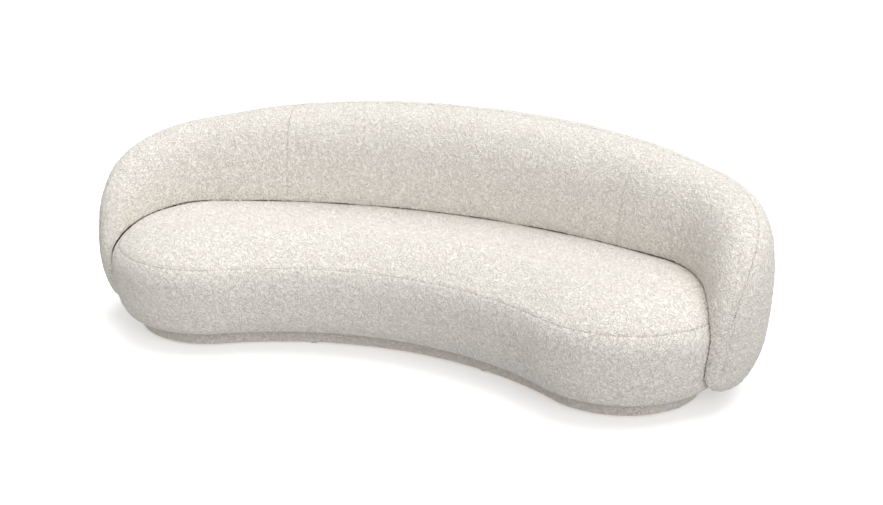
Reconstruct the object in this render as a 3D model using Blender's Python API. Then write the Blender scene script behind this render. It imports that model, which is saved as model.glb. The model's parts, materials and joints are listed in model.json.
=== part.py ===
"""A crescent sofa: a rounded bean seat on a low covered plinth, wrapped by a padded roll back.

Metres, +Z up. The sitter looks along -Y, +X is to the right in a front view, and the origin is on
the floor under the middle of the sofa. The plan is three arcs that touch: a long rear arc, a round
end at each side and a hollow front arc. Every piece of the plinth and the seat is a distance in or
out of that plan, and every piece of the back follows its rear and end arcs.
"""
import math

import bmesh
import bpy
import numpy as np

# Plan, on the plinth's outer face
END_SPREAD = 0.758          # from the middle to the centre of each round end
END_RADIUS = 0.278
FRONT_RADIUS = 1.141        # hollow front arc
REAR_RADIUS = 2.087         # long rear arc

# Heights
PLINTH_HEIGHT = 0.0583      # top of the plinth's rails
SEAT_HEIGHT = 0.390
BACK_HEIGHT = 0.735         # at the middle of the back
SEAT_SEAM_HEIGHT = 0.307    # seam between the seat's top and its side band

# Seat's side, as distances out from the plinth
SEAT_FOOT = 0.038           # where the side meets the underside
SEAT_BULGE = 0.093          # where the side is fullest
BULGE_HEIGHT = 0.244
CROWN_INSET = 0.140         # from the plan in to where the top is flat
CROWN_POWER = 1.89

# Back's section, as distances out from the plinth, from the middle towards a nose
BACK_FACE_IN = 0.108        # how far the back's face leans in over the seat
BACK_FACE_OUT = 0.340       # how far its rear stands out
FACE_TAPER = (0.038, 0.018)     # the face draws out towards the nose, square and fourth powers
REAR_TAPER = (-0.176, 0.017)    # the rear draws in
TOP_FALL = (-0.151, -0.040)     # the top falls
SECTION_POWER = 2.72        # squareness of the section
LEAN_MIDDLE = -0.0127       # the section's top leans in at the middle
LEAN_NOSE = 0.0182          # and out at the nose
NOSE_WRAP = 1.65            # how far the back goes round each end, in radians
NOSE_START = 0.554          # share of the back's length where it starts to round off
NOSE_POWER_HEIGHT = 5.6
NOSE_POWER_DEPTH = 2.71
NOSE_TIP_HEIGHT = 0.172
NOSE_TIP_OUT = 0.012        # from the seat's fullest line to the tip
NOSE_DROP = 0.040           # the underside drops towards the noses
NOSE_DROP_START, NOSE_DROP_SPAN = 0.50, 0.40
UNDERSIDE_ROUND = 0.030     # height of the section that the flat underside cuts off
NOSE_SHEAR = 0.0426
RIDGE_MIDDLE = 0.118        # distance out of the ridge seam between the front and rear covers
RIDGE_NOSE = 0.137

# Soft layers and clearances
COVER = 0.003               # fabric and its backing
GAP = 0.0003                # between pieces that touch
FOAM_GAP = 0.0008           # between a cover and the foam
SEAM_GAP = 0.0005           # between two covers at a seam
CREASE = 0.008              # between the seat's side and the back
CONTACT_FOOT = 0.120        # below this height the back no longer follows the seat's side in
SLOT_HALF = 0.050           # half the width of the lining under the back
LINING_EDGE = 0.012         # from the back's front wall in to its lining
FRAME_PLAY = 0.0025         # between the back's frame and the foam round it
SEAT_LIP_IN = 0.030         # how far the side band turns in under the seat
BACK_PADDING = 0.055        # foam over the back's frame

# Plinth
GLIDE_RADIUS, GLIDE_HEIGHT = 0.020, 0.005
PLINTH_RAIL = 0.040         # width of the rails
PLINTH_COVER_FOOT = 0.006
GLIDE_PLACES = 6

# Boards, rails and straps
BOARD = 0.018
SEAT_RAIL = 0.045
SEAT_RAIL_TOP = 0.245
CROSS_RAIL_WIDTH, CROSS_RAIL_HEIGHT = 0.040, 0.095
CROSS_RAIL_SPACING = 0.48
STRAP_WIDTH, STRAP_THICKNESS, STRAP_SPACING, STRAPS = 0.070, 0.002, 0.230, 6
SKIN = 0.006                # bent plywood of the back
TOP_RAIL_DEPTH = 0.030
FRAME_END = 0.75            # share of the back's length that has a frame
FRAME_TOP_COVER = 0.075     # foam over the top rail
FRAME_FACE_IN = 0.130       # from the back's face in to the top rail
FRAME_KNEE = 0.26           # height where the front skin starts to lean
FRAME_HEEL = 0.18           # height where the rear skin stands straight
FRAME_FOOT_COVER = 0.034    # foam over the rear skin's foot
FRAME_TOP_DRAW = 0.055      # the rear skin leans in to the top rail
FORMER_STEPS = (-7, -4, 0, 4, 7)    # stations of the back's straight run that hold a former
FORMER_GAP = 0.0025

# Steel plates and bolts that hold the back to the seat
TIE_WIDTH, TIE_THICKNESS = 0.060, 0.0035
TIE_IN, TIE_OUT = -0.115, 0.235
TIE_BOLT_IN, TIE_BOLT_OUT = -0.080, 0.165
TIE_SPACING = 0.34          # as a share of the back's length
BOLT_RADIUS, BOLT_HEAD_RADIUS, BOLT_HEAD = 0.004, 0.008, 0.004
BOLT_REACH = 0.014          # into the boards
HOLE_PLAY = 0.0006

# How finely the curves are cut into flats
REAR_STEPS, END_STEPS, FRONT_STEPS = 7, 14, 7
BACK_REAR_STEPS, BACK_NOSE_STEPS, SEAM_STEP = 8, 10, 6
REAR_COVER_STEPS, FACE_STEPS, CONTACT_STEPS, SLOT_STEPS = 10, 7, 7, 2
DENSE = 1081                # samples that a section is measured on

COLOURS = {
    "boucle": ((0.79, 0.76, 0.70), 0.95, 0.0),
    "plinth_boucle": ((0.66, 0.63, 0.57), 0.95, 0.0),
    "foam": ((0.80, 0.74, 0.52), 0.90, 0.0),
    "plywood": ((0.60, 0.44, 0.27), 0.60, 0.0),
    "solid_wood": ((0.55, 0.38, 0.22), 0.65, 0.0),
    "webbing": ((0.12, 0.11, 0.10), 0.85, 0.0),
    "lining": ((0.03, 0.03, 0.03), 0.90, 0.0),
    "steel": ((0.56, 0.57, 0.58), 0.35, 1.0),
    "glide": ((0.05, 0.05, 0.05), 0.50, 0.0),
}

# Derived plan
REAR_ANGLE = math.asin(END_SPREAD / (REAR_RADIUS - END_RADIUS))
FRONT_ANGLE = math.asin(END_SPREAD / (FRONT_RADIUS + END_RADIUS))
REAR_LENGTH = REAR_RADIUS * REAR_ANGLE
END_LENGTH = END_RADIUS * (math.pi + FRONT_ANGLE - REAR_ANGLE)
HALF_LENGTH = REAR_LENGTH + END_LENGTH + FRONT_RADIUS * FRONT_ANGLE
BACK_LENGTH = REAR_LENGTH + END_RADIUS * NOSE_WRAP
REAR_CENTRE = -math.sqrt((REAR_RADIUS - END_RADIUS) ** 2 - END_SPREAD ** 2)
FRONT_CENTRE = -math.sqrt((FRONT_RADIUS + END_RADIUS) ** 2 - END_SPREAD ** 2)

# Derived heights
UNDERSIDE = PLINTH_HEIGHT + GAP                     # of the seat's lining and the band's lip
BOARD_LOW = UNDERSIDE + COVER + GAP
BOARD_TOP = BOARD_LOW + BOARD
RAIL_LOW = BOARD_TOP + GAP
STRAP_LOW = SEAT_RAIL_TOP + GAP
BACK_UNDERSIDE = UNDERSIDE + GAP
BACK_BOARD_LOW = BACK_UNDERSIDE + COVER + GAP
BACK_BOARD_TOP = BACK_BOARD_LOW + BOARD
TIE_LOW = PLINTH_HEIGHT - TIE_THICKNESS
PLINTH_COVER_TOP = TIE_LOW - GAP


def clear_scene():
    """Start from an empty scene."""
    for old in list(bpy.data.objects):
        bpy.data.objects.remove(old, do_unlink=True)


def material(kind, node):
    """One Principled material for a node, in the colour of its kind."""
    colour, roughness, metallic = COLOURS[kind]
    made = bpy.data.materials.new(node + "_finish")
    made.use_nodes = True
    shader = made.node_tree.nodes["Principled BSDF"]
    shader.inputs["Base Color"].default_value = (*colour, 1.0)
    shader.inputs["Roughness"].default_value = roughness
    shader.inputs["Metallic"].default_value = metallic
    return made


def add_node(name, mesh, kind, parent, location=(0, 0, 0), turn=0.0):
    """Place a mesh as a named node under its sub-assembly's empty."""
    node = bpy.data.objects.new(name, mesh)
    bpy.context.collection.objects.link(node)
    node.location = location
    node.rotation_euler = (0, 0, turn)
    node.parent = parent
    if not mesh.materials:
        mesh.materials.append(material(kind, name))
    return node


def add_group(name):
    """An empty that holds a sub-assembly together."""
    group = bpy.data.objects.new(name, None)
    bpy.context.collection.objects.link(group)
    return group


def closed_mesh(name, points, faces):
    """A closed mesh with its faces pointing out and its flats joined where they meet."""
    mesh = bpy.data.meshes.new(name)
    mesh.from_pydata([tuple(p) for p in points], [], faces)
    work = bmesh.new()
    work.from_mesh(mesh)
    bmesh.ops.remove_doubles(work, verts=work.verts, dist=1e-6)
    bmesh.ops.dissolve_degenerate(work, edges=work.edges, dist=1e-7)
    bmesh.ops.recalc_face_normals(work, faces=work.faces)
    work.to_mesh(mesh)
    work.free()
    mesh.shade_smooth()
    mesh.set_sharp_from_angle(angle=math.radians(40))
    return mesh


def box_mesh(name, length_x, length_y, height):
    """A box that stands on its own origin."""
    work = bmesh.new()
    bmesh.ops.create_cube(work, size=1.0)
    bmesh.ops.scale(work, vec=(length_x, length_y, height), verts=work.verts)
    bmesh.ops.translate(work, vec=(0, 0, height / 2), verts=work.verts)
    mesh = bpy.data.meshes.new(name)
    work.to_mesh(mesh)
    work.free()
    return mesh


def turned_mesh(name, profile, sides):
    """A solid of revolution about Z from (radius, height) pairs, closed at both ends."""
    points, faces = [], []
    for radius, height in profile:
        for step in range(sides):
            angle = 2 * math.pi * (step + 0.5) / sides
            points.append((radius * math.cos(angle), radius * math.sin(angle), height))
    for ring in range(len(profile) - 1):
        for step in range(sides):
            after = (step + 1) % sides
            low, high = ring * sides, (ring + 1) * sides
            faces.append((low + step, low + after, high + after, high + step))
    faces.append(tuple(range(sides)))
    faces.append(tuple(range((len(profile) - 1) * sides, len(profile) * sides)))
    return closed_mesh(name, points, faces)


def plan(along, out):
    """World x, y and the outward direction at a distance along the half plan from its rear
    middle, negative to the left, and a distance out of it."""
    along, out = np.broadcast_arrays(np.asarray(along, float), np.asarray(out, float))
    side = np.where(along < 0, -1.0, 1.0)
    run = np.abs(along)
    on_rear = run <= REAR_LENGTH
    on_front = run > REAR_LENGTH + END_LENGTH
    angle = np.where(on_rear, run / REAR_RADIUS, REAR_ANGLE + (run - REAR_LENGTH) / END_RADIUS)
    front_run = run - REAR_LENGTH - END_LENGTH
    angle = np.where(on_front, FRONT_ANGLE - front_run / FRONT_RADIUS, angle)
    centre_x = np.where(on_rear | on_front, 0.0, END_SPREAD)
    centre_y = np.where(on_rear, REAR_CENTRE, np.where(on_front, FRONT_CENTRE, 0.0))
    radius = np.where(on_rear, REAR_RADIUS + out, np.where(on_front, FRONT_RADIUS - out, END_RADIUS + out))
    x = side * (centre_x + radius * np.sin(angle))
    y = centre_y + radius * np.cos(angle)
    outward = np.where(on_front, -1.0, 1.0)
    return x, y + PLAN_Y, side * outward * np.sin(angle), outward * np.cos(angle)


def world(along, out, height):
    """World points at places along the plan, out of it and up."""
    x, y, _, _ = plan(along, out)
    return np.stack(np.broadcast_arrays(x, y, np.asarray(height, float)), -1)


def loop_places():
    """Places right round the plan, from the rear middle by the right end."""
    rear = np.linspace(0, REAR_LENGTH, REAR_STEPS, endpoint=False)
    end = np.linspace(REAR_LENGTH, REAR_LENGTH + END_LENGTH, END_STEPS, endpoint=False)
    front = np.linspace(REAR_LENGTH + END_LENGTH, HALF_LENGTH, FRONT_STEPS + 1)
    right = np.concatenate([rear, end, front])
    return np.concatenate([right, -right[-2:0:-1]])


def ladder(count, start):
    """Faces that fill one ring of the plan, by rungs from its rear to its front."""
    faces = []
    for step in range(count // 4):
        right = [step, step + 1, count // 2 - step - 1, count // 2 - step]
        left = [-step % count, count - step - 1, count // 2 + step + 1, count // 2 + step]
        for rung in (right, left):
            faces.append(tuple(start + place for place in dict.fromkeys(rung)))
    return faces


def ring_solid(name, rings, kind, parent):
    """A solid lofted through rings (out, height) of the plan, filled across at both ends."""
    places = loop_places()
    count = len(places)
    points = np.concatenate([world(places, out, height) for out, height in rings])
    faces = ladder(count, 0) + ladder(count, (len(rings) - 1) * count)
    for ring in range(len(rings) - 1):
        for step in range(count):
            after = (step + 1) % count
            low, high = ring * count, (ring + 1) * count
            faces.append((low + step, low + after, high + after, high + step))
    return add_node(name, closed_mesh(name, points, faces), kind, parent)


def sweep_mesh(name, places, sections, closed=False):
    """A mesh swept along the plan. Each place has its own closed section of (out, height)."""
    sections = np.asarray(sections, float)
    if sections.ndim == 2:
        sections = np.broadcast_to(sections, (len(places),) + sections.shape)
    rows, columns = sections.shape[:2]
    points = world(np.asarray(places)[:, None], sections[..., 0], sections[..., 1]).reshape(-1, 3)
    faces = []
    for row in range(rows if closed else rows - 1):
        near, far = row * columns, ((row + 1) % rows) * columns
        for column in range(columns):
            after = (column + 1) % columns
            faces.append((near + column, near + after, far + after, far + column))
    if not closed:
        faces.append(tuple(range(columns)))
        faces.append(tuple(range((rows - 1) * columns, rows * columns)))
    return closed_mesh(name, points, faces)


def rectangle(inner, outer, low, high):
    """A rectangular section."""
    return [(inner, low), (outer, low), (outer, high), (inner, high)]


def cut(node, cutter_meshes):
    """Take cutters out of a node, each hidden and left live as a Boolean's helper."""
    for number, (mesh, location, turn) in enumerate(cutter_meshes):
        helper = bpy.data.objects.new(node.name + "_cutter_%d" % number, mesh)
        bpy.context.collection.objects.link(helper)
        helper.location = location
        helper.rotation_euler = (0, 0, turn)
        helper.hide_render = True
        helper.display_type = "WIRE"
        opening = node.modifiers.new("opening_%d" % number, "BOOLEAN")
        opening.operation = "DIFFERENCE"
        opening.solver = "EXACT"
        opening.object = helper


def between(places, first, last):
    """Places from first to last, both included, with the loop's own places between them."""
    inside = [place for place in places if first + 1e-3 < place < last - 1e-3]
    return [first] + inside + [last]


# ---------------------------------------------------------------- seat's side

def seat_side(height):
    """How far out the seat's side stands at a height."""
    height = np.asarray(height, float)
    low = np.clip((BULGE_HEIGHT - height) / (BULGE_HEIGHT - UNDERSIDE), 0, 1)
    lower = SEAT_FOOT + (SEAT_BULGE - SEAT_FOOT) * np.sqrt(1 - low ** 2)
    rise = np.clip((height - BULGE_HEIGHT) / (SEAT_HEIGHT - BULGE_HEIGHT), 0, 1)
    reach = np.power(1 - rise ** CROWN_POWER, 1 / CROWN_POWER)
    upper = -CROWN_INSET + (SEAT_BULGE + CROWN_INSET) * reach
    return np.where(height < BULGE_HEIGHT, lower, upper)


def lower_side(inward, start, steps):
    """Rings of the seat's lower side from a height up to its fullest line, moved inward."""
    first = math.acos(np.clip((BULGE_HEIGHT - start) / (BULGE_HEIGHT - UNDERSIDE), 0, 1))
    rings = []
    for angle in np.linspace(first, math.pi / 2, steps + 1):
        out = SEAT_FOOT + (SEAT_BULGE - SEAT_FOOT) * math.sin(angle)
        height = BULGE_HEIGHT - (BULGE_HEIGHT - UNDERSIDE) * math.cos(angle)
        rings.append((out - inward, height))
    return rings


def upper_side(inward, start, end, steps):
    """Rings of the seat's upper side between two shares of its quarter turn, moved inward."""
    rings = []
    for angle in np.linspace(start, end, steps + 1):
        wide = math.cos(angle) if angle < math.pi / 2 - 1e-9 else 0.0
        out = -CROWN_INSET + (SEAT_BULGE + CROWN_INSET) * wide ** (2 / CROWN_POWER)
        height = BULGE_HEIGHT + (SEAT_HEIGHT - BULGE_HEIGHT) * math.sin(angle) ** (2 / CROWN_POWER)
        rings.append((out - inward * math.cos(angle), height - inward * math.sin(angle)))
    return rings


def above(rings, low):
    """The rings of a side from a height up, the first one cut on the side's own slope."""
    after = next(number for number, ring in enumerate(rings) if ring[1] > low + 1e-4)
    (out, height), (next_out, next_height) = rings[after - 1], rings[after]
    share = (low - height) / (next_height - height)
    return [(out + (next_out - out) * share, low)] + rings[after:]


def seam_angle():
    """Where the seat's seam lies on the quarter turn of its upper side."""
    rise = (SEAT_SEAM_HEIGHT - BULGE_HEIGHT) / (SEAT_HEIGHT - BULGE_HEIGHT)
    return math.asin(rise ** (CROWN_POWER / 2))


# ---------------------------------------------------------------- back's section

def nose_share(share):
    """How far along its rounding off the back is, from 0 to 1 at the tip."""
    return np.clip((np.abs(share) - NOSE_START) / (1 - NOSE_START), 0, 1)


def back_limits(share):
    """Half height, half depth, centre height and centre distance out of the back's section, how
    tall it still is and the height of its flat underside."""
    share = abs(share)
    ease = min(max((share - NOSE_DROP_START) / NOSE_DROP_SPAN, 0.0), 1.0)
    ease = ease * ease * (3 - 2 * ease)
    flat = BACK_UNDERSIDE - NOSE_DROP * ease
    low = flat - UNDERSIDE_ROUND * (1 - ease)
    top = BACK_HEIGHT + TOP_FALL[0] * share ** 2 + TOP_FALL[1] * share ** 4
    face = -BACK_FACE_IN + FACE_TAPER[0] * share ** 2 + FACE_TAPER[1] * share ** 4
    rear = BACK_FACE_OUT + REAR_TAPER[0] * share ** 2 + REAR_TAPER[1] * share ** 4
    nose = nose_share(share)
    tall = math.sqrt(max(1 - nose ** NOSE_POWER_HEIGHT, 0.0))
    deep = math.sqrt(max(1 - nose ** NOSE_POWER_DEPTH, 0.0))
    tip_out = SEAT_BULGE + NOSE_TIP_OUT
    centre_height = NOSE_TIP_HEIGHT + tall * ((top + low) / 2 - NOSE_TIP_HEIGHT)
    centre_out = tip_out + deep * ((face + rear) / 2 - tip_out)
    flat = NOSE_TIP_HEIGHT + tall * (flat - NOSE_TIP_HEIGHT)
    return tall * (top - low) / 2, deep * (rear - face) / 2, centre_height, centre_out, tall, flat


def back_curve(share):
    """The back's section at a share of its length: distance out, height and shear on a dense run
    of points, one and a half times round, up its rear and down its face."""
    half_height, half_depth, centre_height, centre_out, tall, flat = back_limits(share)
    turn = np.linspace(-math.pi, 2 * math.pi, DENSE)
    wide = np.sign(np.cos(turn)) * np.abs(np.cos(turn)) ** (2 / SECTION_POWER)
    rise = np.sign(np.sin(turn)) * np.abs(np.sin(turn)) ** (2 / SECTION_POWER)
    lean = (LEAN_MIDDLE + (LEAN_NOSE - LEAN_MIDDLE) * abs(share)) * tall
    out = centre_out + half_depth * wide + lean * rise
    height = np.maximum(centre_height + half_height * rise, flat)
    wall = seat_side(np.maximum(height - CREASE / 2, CONTACT_FOOT)) + CREASE
    out = np.where(height < SEAT_HEIGHT + CREASE, np.maximum(out, wall), out)
    shear = -NOSE_SHEAR * half_height * rise * nose_share(share) ** 1.5
    return turn, out, height, shear


def turn_at(wide):
    """The turn on the section's upper rear quarter where its width share is wide."""
    wide = min(max(wide, -1.0), 1.0)
    return math.acos(math.copysign(abs(wide) ** (SECTION_POWER / 2), wide))


def back_row(share):
    """One row of the back's surface: (along, out, height) at the rear cover's, the front cover's
    and the lining's columns, with a seam's gap between them."""
    turn, out, height, shear = back_curve(share)
    half_height, half_depth, centre_height, centre_out, _, flat = back_limits(share)
    run = np.concatenate([[0], np.cumsum(np.hypot(np.diff(out), np.diff(height)))])
    ridge = RIDGE_MIDDLE + (RIDGE_NOSE - RIDGE_MIDDLE) * share ** 2
    depth = max(half_depth, 1e-6)
    ridge_turn = turn_at((ridge - centre_out) / depth)
    wall = float(seat_side(CONTACT_FOOT)) + CREASE + LINING_EDGE
    slot_face = min((max(centre_out - SLOT_HALF, wall) - centre_out) / depth, 0.3)
    slot_rear = turn_at(min(slot_face + 2 * SLOT_HALF / depth, 0.5))
    slot_face = turn_at(slot_face)
    crease = (SEAT_HEIGHT + CREASE - centre_height) / max(half_height, 1e-6)
    crease = min(max(crease, -0.6), 0.6)
    crease_turn = math.pi - math.asin(math.copysign(abs(crease) ** (SECTION_POWER / 2), crease))
    drop = min((centre_height - flat) / max(half_height, 1e-6), 1.0)
    heel_turn = max(-math.asin(drop ** (SECTION_POWER / 2)), 0.1 - slot_rear)
    marks = [-slot_rear, heel_turn, ridge_turn, crease_turn, 2 * math.pi - slot_face,
             2 * math.pi - slot_rear]
    rear_low, at_heel, at_ridge, at_crease, face_low, round_again = np.interp(marks, turn, run)
    seam = min(SEAM_GAP / 2, run[-1] / 200)
    columns = np.concatenate([
        [rear_low + seam],
        np.linspace(at_heel, at_ridge - seam, REAR_COVER_STEPS),
        np.linspace(at_ridge + seam, at_crease, FACE_STEPS + 1),
        np.linspace(at_crease, face_low - seam, CONTACT_STEPS + 1)[1:],
        np.linspace(face_low + 3 * seam, round_again - 3 * seam, SLOT_STEPS + 1),
    ])
    along = BACK_LENGTH * abs(share) + np.interp(columns, run, shear)
    side = -1.0 if share < 0 else 1.0
    return np.stack([side * along, np.interp(columns, run, out), np.interp(columns, run, height)], -1)


def back_shares(with_seams):
    """Shares of the back's length from the left tip to the right, doubled at its seams."""
    straight = REAR_LENGTH / BACK_LENGTH
    half = [straight * step / BACK_REAR_STEPS for step in range(1, BACK_REAR_STEPS)]
    for step in range(BACK_NOSE_STEPS + 1):
        half.append(straight + (1 - straight) * math.sin(math.pi / 2 * step / BACK_NOSE_STEPS))
    if with_seams:
        half_gap = SEAM_GAP / 2 / BACK_LENGTH
        for seam in (seam_share(), cap_share()):
            half.remove(seam)
            half += [seam - half_gap, seam + half_gap]
    half.sort()
    return [-share for share in reversed(half)] + [0.0] + half


def seam_share():
    """Where the upright seams in the back's covers are."""
    return REAR_LENGTH / BACK_LENGTH * SEAM_STEP / BACK_REAR_STEPS


def cap_share():
    """Where the rear cover ends and the front cover goes right round the nose."""
    straight = REAR_LENGTH / BACK_LENGTH
    return straight + (1 - straight) * math.sin(math.pi / 2 * (BACK_NOSE_STEPS - 2) / BACK_NOSE_STEPS)


def slope(before, here, after):
    """Direction of a curve at a point between two others, where the nearer one counts for more."""
    behind, ahead = here - before, after - here
    near = np.maximum(np.linalg.norm(behind, axis=-1, keepdims=True), 1e-7)
    far = np.maximum(np.linalg.norm(ahead, axis=-1, keepdims=True), 1e-7)
    return behind * far / near + ahead * near / far


def back_surface(shares, inward):
    """The back's surface as rows of world points, moved inward along its own normals."""
    rows = np.array([back_row(share) for share in shares])
    points = world(rows[..., 0], rows[..., 1], rows[..., 2])
    padded = np.concatenate([points[:1], points, points[-1:]])
    along_rows = slope(padded[:-2], points, padded[2:])
    along_columns = slope(np.roll(points, 1, axis=1), points, np.roll(points, -1, axis=1))
    normals = np.cross(along_rows, along_columns)
    for row, side in ((0, -1.0), (-1, 1.0)):
        _, _, out_x, out_y = plan(side * BACK_LENGTH, 0.0)
        normals[row] = (side * out_y, -side * out_x, 0.0)
    normals /= np.linalg.norm(normals, axis=-1, keepdims=True)
    middle = len(shares) // 2
    if np.dot(normals[middle, REAR_COVER_STEPS // 2], (0, 1, 0)) < 0:
        normals[1:-1] *= -1
    return points - inward * normals


def split_cell(row, column, rows, columns):
    """The two triangles of a grid cell, cut so that the left half mirrors the right."""
    after = (column + 1) % columns
    near, far = row * columns, (row + 1) * columns
    a, b, c, d = near + column, near + after, far + after, far + column
    if row < rows // 2:
        return (a, b, d), (b, c, d)
    return (a, b, c), (a, c, d)


def patch_mesh(name, outer, inner, cells):
    """A closed sheet between two surfaces over the cells (row, column) of their shared grid."""
    rows, columns = outer.shape[:2]
    layer = rows * columns
    points = np.concatenate([outer.reshape(-1, 3), inner.reshape(-1, 3)])
    edges = {}
    faces = []
    for row, column in cells:
        for corners in split_cell(row, column, rows, columns):
            faces.append(corners)
            faces.append(tuple(corner + layer for corner in reversed(corners)))
            edges.update(dict.fromkeys(zip(corners, corners[1:] + corners[:1])))
    for start, end in edges:
        if (end, start) not in edges and np.linalg.norm(points[start] - points[end]) > 1e-6:
            faces.append((end, start, start + layer, end + layer))
    used = sorted({corner for face in faces for corner in face})
    number = {corner: place for place, corner in enumerate(used)}
    faces = [tuple(number[corner] for corner in face) for face in faces]
    return closed_mesh(name, points[used], faces)


# ---------------------------------------------------------------- the back's frame

def frame_lines(share):
    """The frame's section at a share of the back's length: its front foot, front top, rear foot,
    rear side and rear top, as distances out, with the top's height."""
    half_height, half_depth, centre_height, centre_out, _, _ = back_limits(share)
    padding = BACK_PADDING - 0.02 * share * share
    front_low = SEAT_BULGE + CREASE + padding
    front_top = centre_out - half_depth + FRAME_FACE_IN
    rise = (centre_height - BACK_BOARD_TOP) / half_height
    foot = (1 - rise ** SECTION_POWER) ** (1 / SECTION_POWER)
    rear_foot = centre_out + half_depth * foot - FRAME_FOOT_COVER
    rear_side = max(centre_out + half_depth - padding, rear_foot)
    rear_top = rear_side - FRAME_TOP_DRAW
    return front_low, front_top, rear_foot, rear_side, rear_top, centre_height + half_height - FRAME_TOP_COVER


def front_line(share, height):
    """Distance out of the front skin's face at a height."""
    front_low, front_top, _, _, _, top = frame_lines(share)
    lean = min(max((height - FRAME_KNEE) / (top - FRAME_KNEE), 0.0), 1.0)
    return front_low + (front_top - front_low) * lean


def rear_line(share, height):
    """Distance out of the rear skin's face at a height."""
    _, _, rear_foot, rear_side, rear_top, top = frame_lines(share)
    return float(np.interp(height, rear_heights(top), (rear_foot, rear_side, rear_side, rear_top)))


def rear_heights(top):
    """Heights of the rear skin's foot, its two bends and its top."""
    return BACK_BOARD_TOP, FRAME_HEEL, (FRAME_HEEL + top) / 2, top


def frame_shares():
    """Shares of the back's length that the frame is cut into, end to end."""
    half = [share for share in back_shares(False) if 0 <= share < FRAME_END - 0.02] + [FRAME_END]
    return [-share for share in reversed(half[1:])] + half


def frame_heights(top, high):
    """Heights that the frame's sections share, from the board up to a height."""
    bends = [height for height in rear_heights(top)[1:3] + (FRAME_KNEE,) if height < high - 0.01]
    return [BACK_BOARD_TOP + GAP] + sorted(bends) + [high]


def skin_section(line, share, thickness):
    """A bent skin's section: its face on a line and its inner side a thickness away."""
    top = frame_lines(share)[5]
    face = [(line(share, height), height) for height in frame_heights(top, top)]
    return face + [(out + thickness, height) for out, height in reversed(face)]


def former_outline(share, grow):
    """The section between the skins, from the board to the top rail, shrunk by a clearance."""
    top = frame_lines(share)[5]
    heights = frame_heights(top, top - TOP_RAIL_DEPTH - grow)
    front = [(front_line(share, height) + SKIN + grow, height) for height in heights]
    rear = [(rear_line(share, height) - SKIN - grow, height) for height in reversed(heights)]
    return front + rear


def build_back_frame(parent):
    """Base board, bent skins, top rail and formers."""
    shares = frame_shares()
    places = [share * BACK_LENGTH for share in shares]
    board = [rectangle(frame_lines(s)[0], frame_lines(s)[2], BACK_BOARD_LOW, BACK_BOARD_TOP) for s in shares]
    base = add_node("back_base_board", sweep_mesh("back_base_board", places, board), "plywood", parent)
    inner = [skin_section(front_line, share, SKIN) for share in shares]
    add_node("back_inner_skin", sweep_mesh("back_inner_skin", places, inner), "plywood", parent)
    outer = [skin_section(rear_line, share, -SKIN) for share in shares]
    add_node("back_outer_skin", sweep_mesh("back_outer_skin", places, outer), "plywood", parent)
    rail = []
    for share in shares:
        top = frame_lines(share)[5]
        low = top - TOP_RAIL_DEPTH
        inset = SKIN + FORMER_GAP
        rail.append([(front_line(share, low) + inset, low), (rear_line(share, low) - inset, low),
                     (rear_line(share, top) - inset, top), (front_line(share, top) + inset, top)])
    add_node("back_top_rail", sweep_mesh("back_top_rail", places, rail), "solid_wood", parent)
    for number, step in enumerate(FORMER_STEPS):
        share = REAR_LENGTH / BACK_LENGTH * step / BACK_REAR_STEPS
        outline = former_outline(share, FORMER_GAP)
        x, y, out_x, out_y = plan(share * BACK_LENGTH, 0.0)
        points, count = [], len(outline)
        for side in (-BOARD / 2, BOARD / 2):
            for out, height in outline:
                points.append((out_x * out - out_y * side, out_y * out + out_x * side, height))
        faces = [tuple(range(count)), tuple(range(count, 2 * count))]
        for step in range(count):
            after = (step + 1) % count
            faces.append((step, after, after + count, step + count))
        name = "back_former_%d" % (number + 1)
        add_node(name, closed_mesh(name, points, faces), "plywood", parent, location=(float(x), float(y), 0))
    return base


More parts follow.
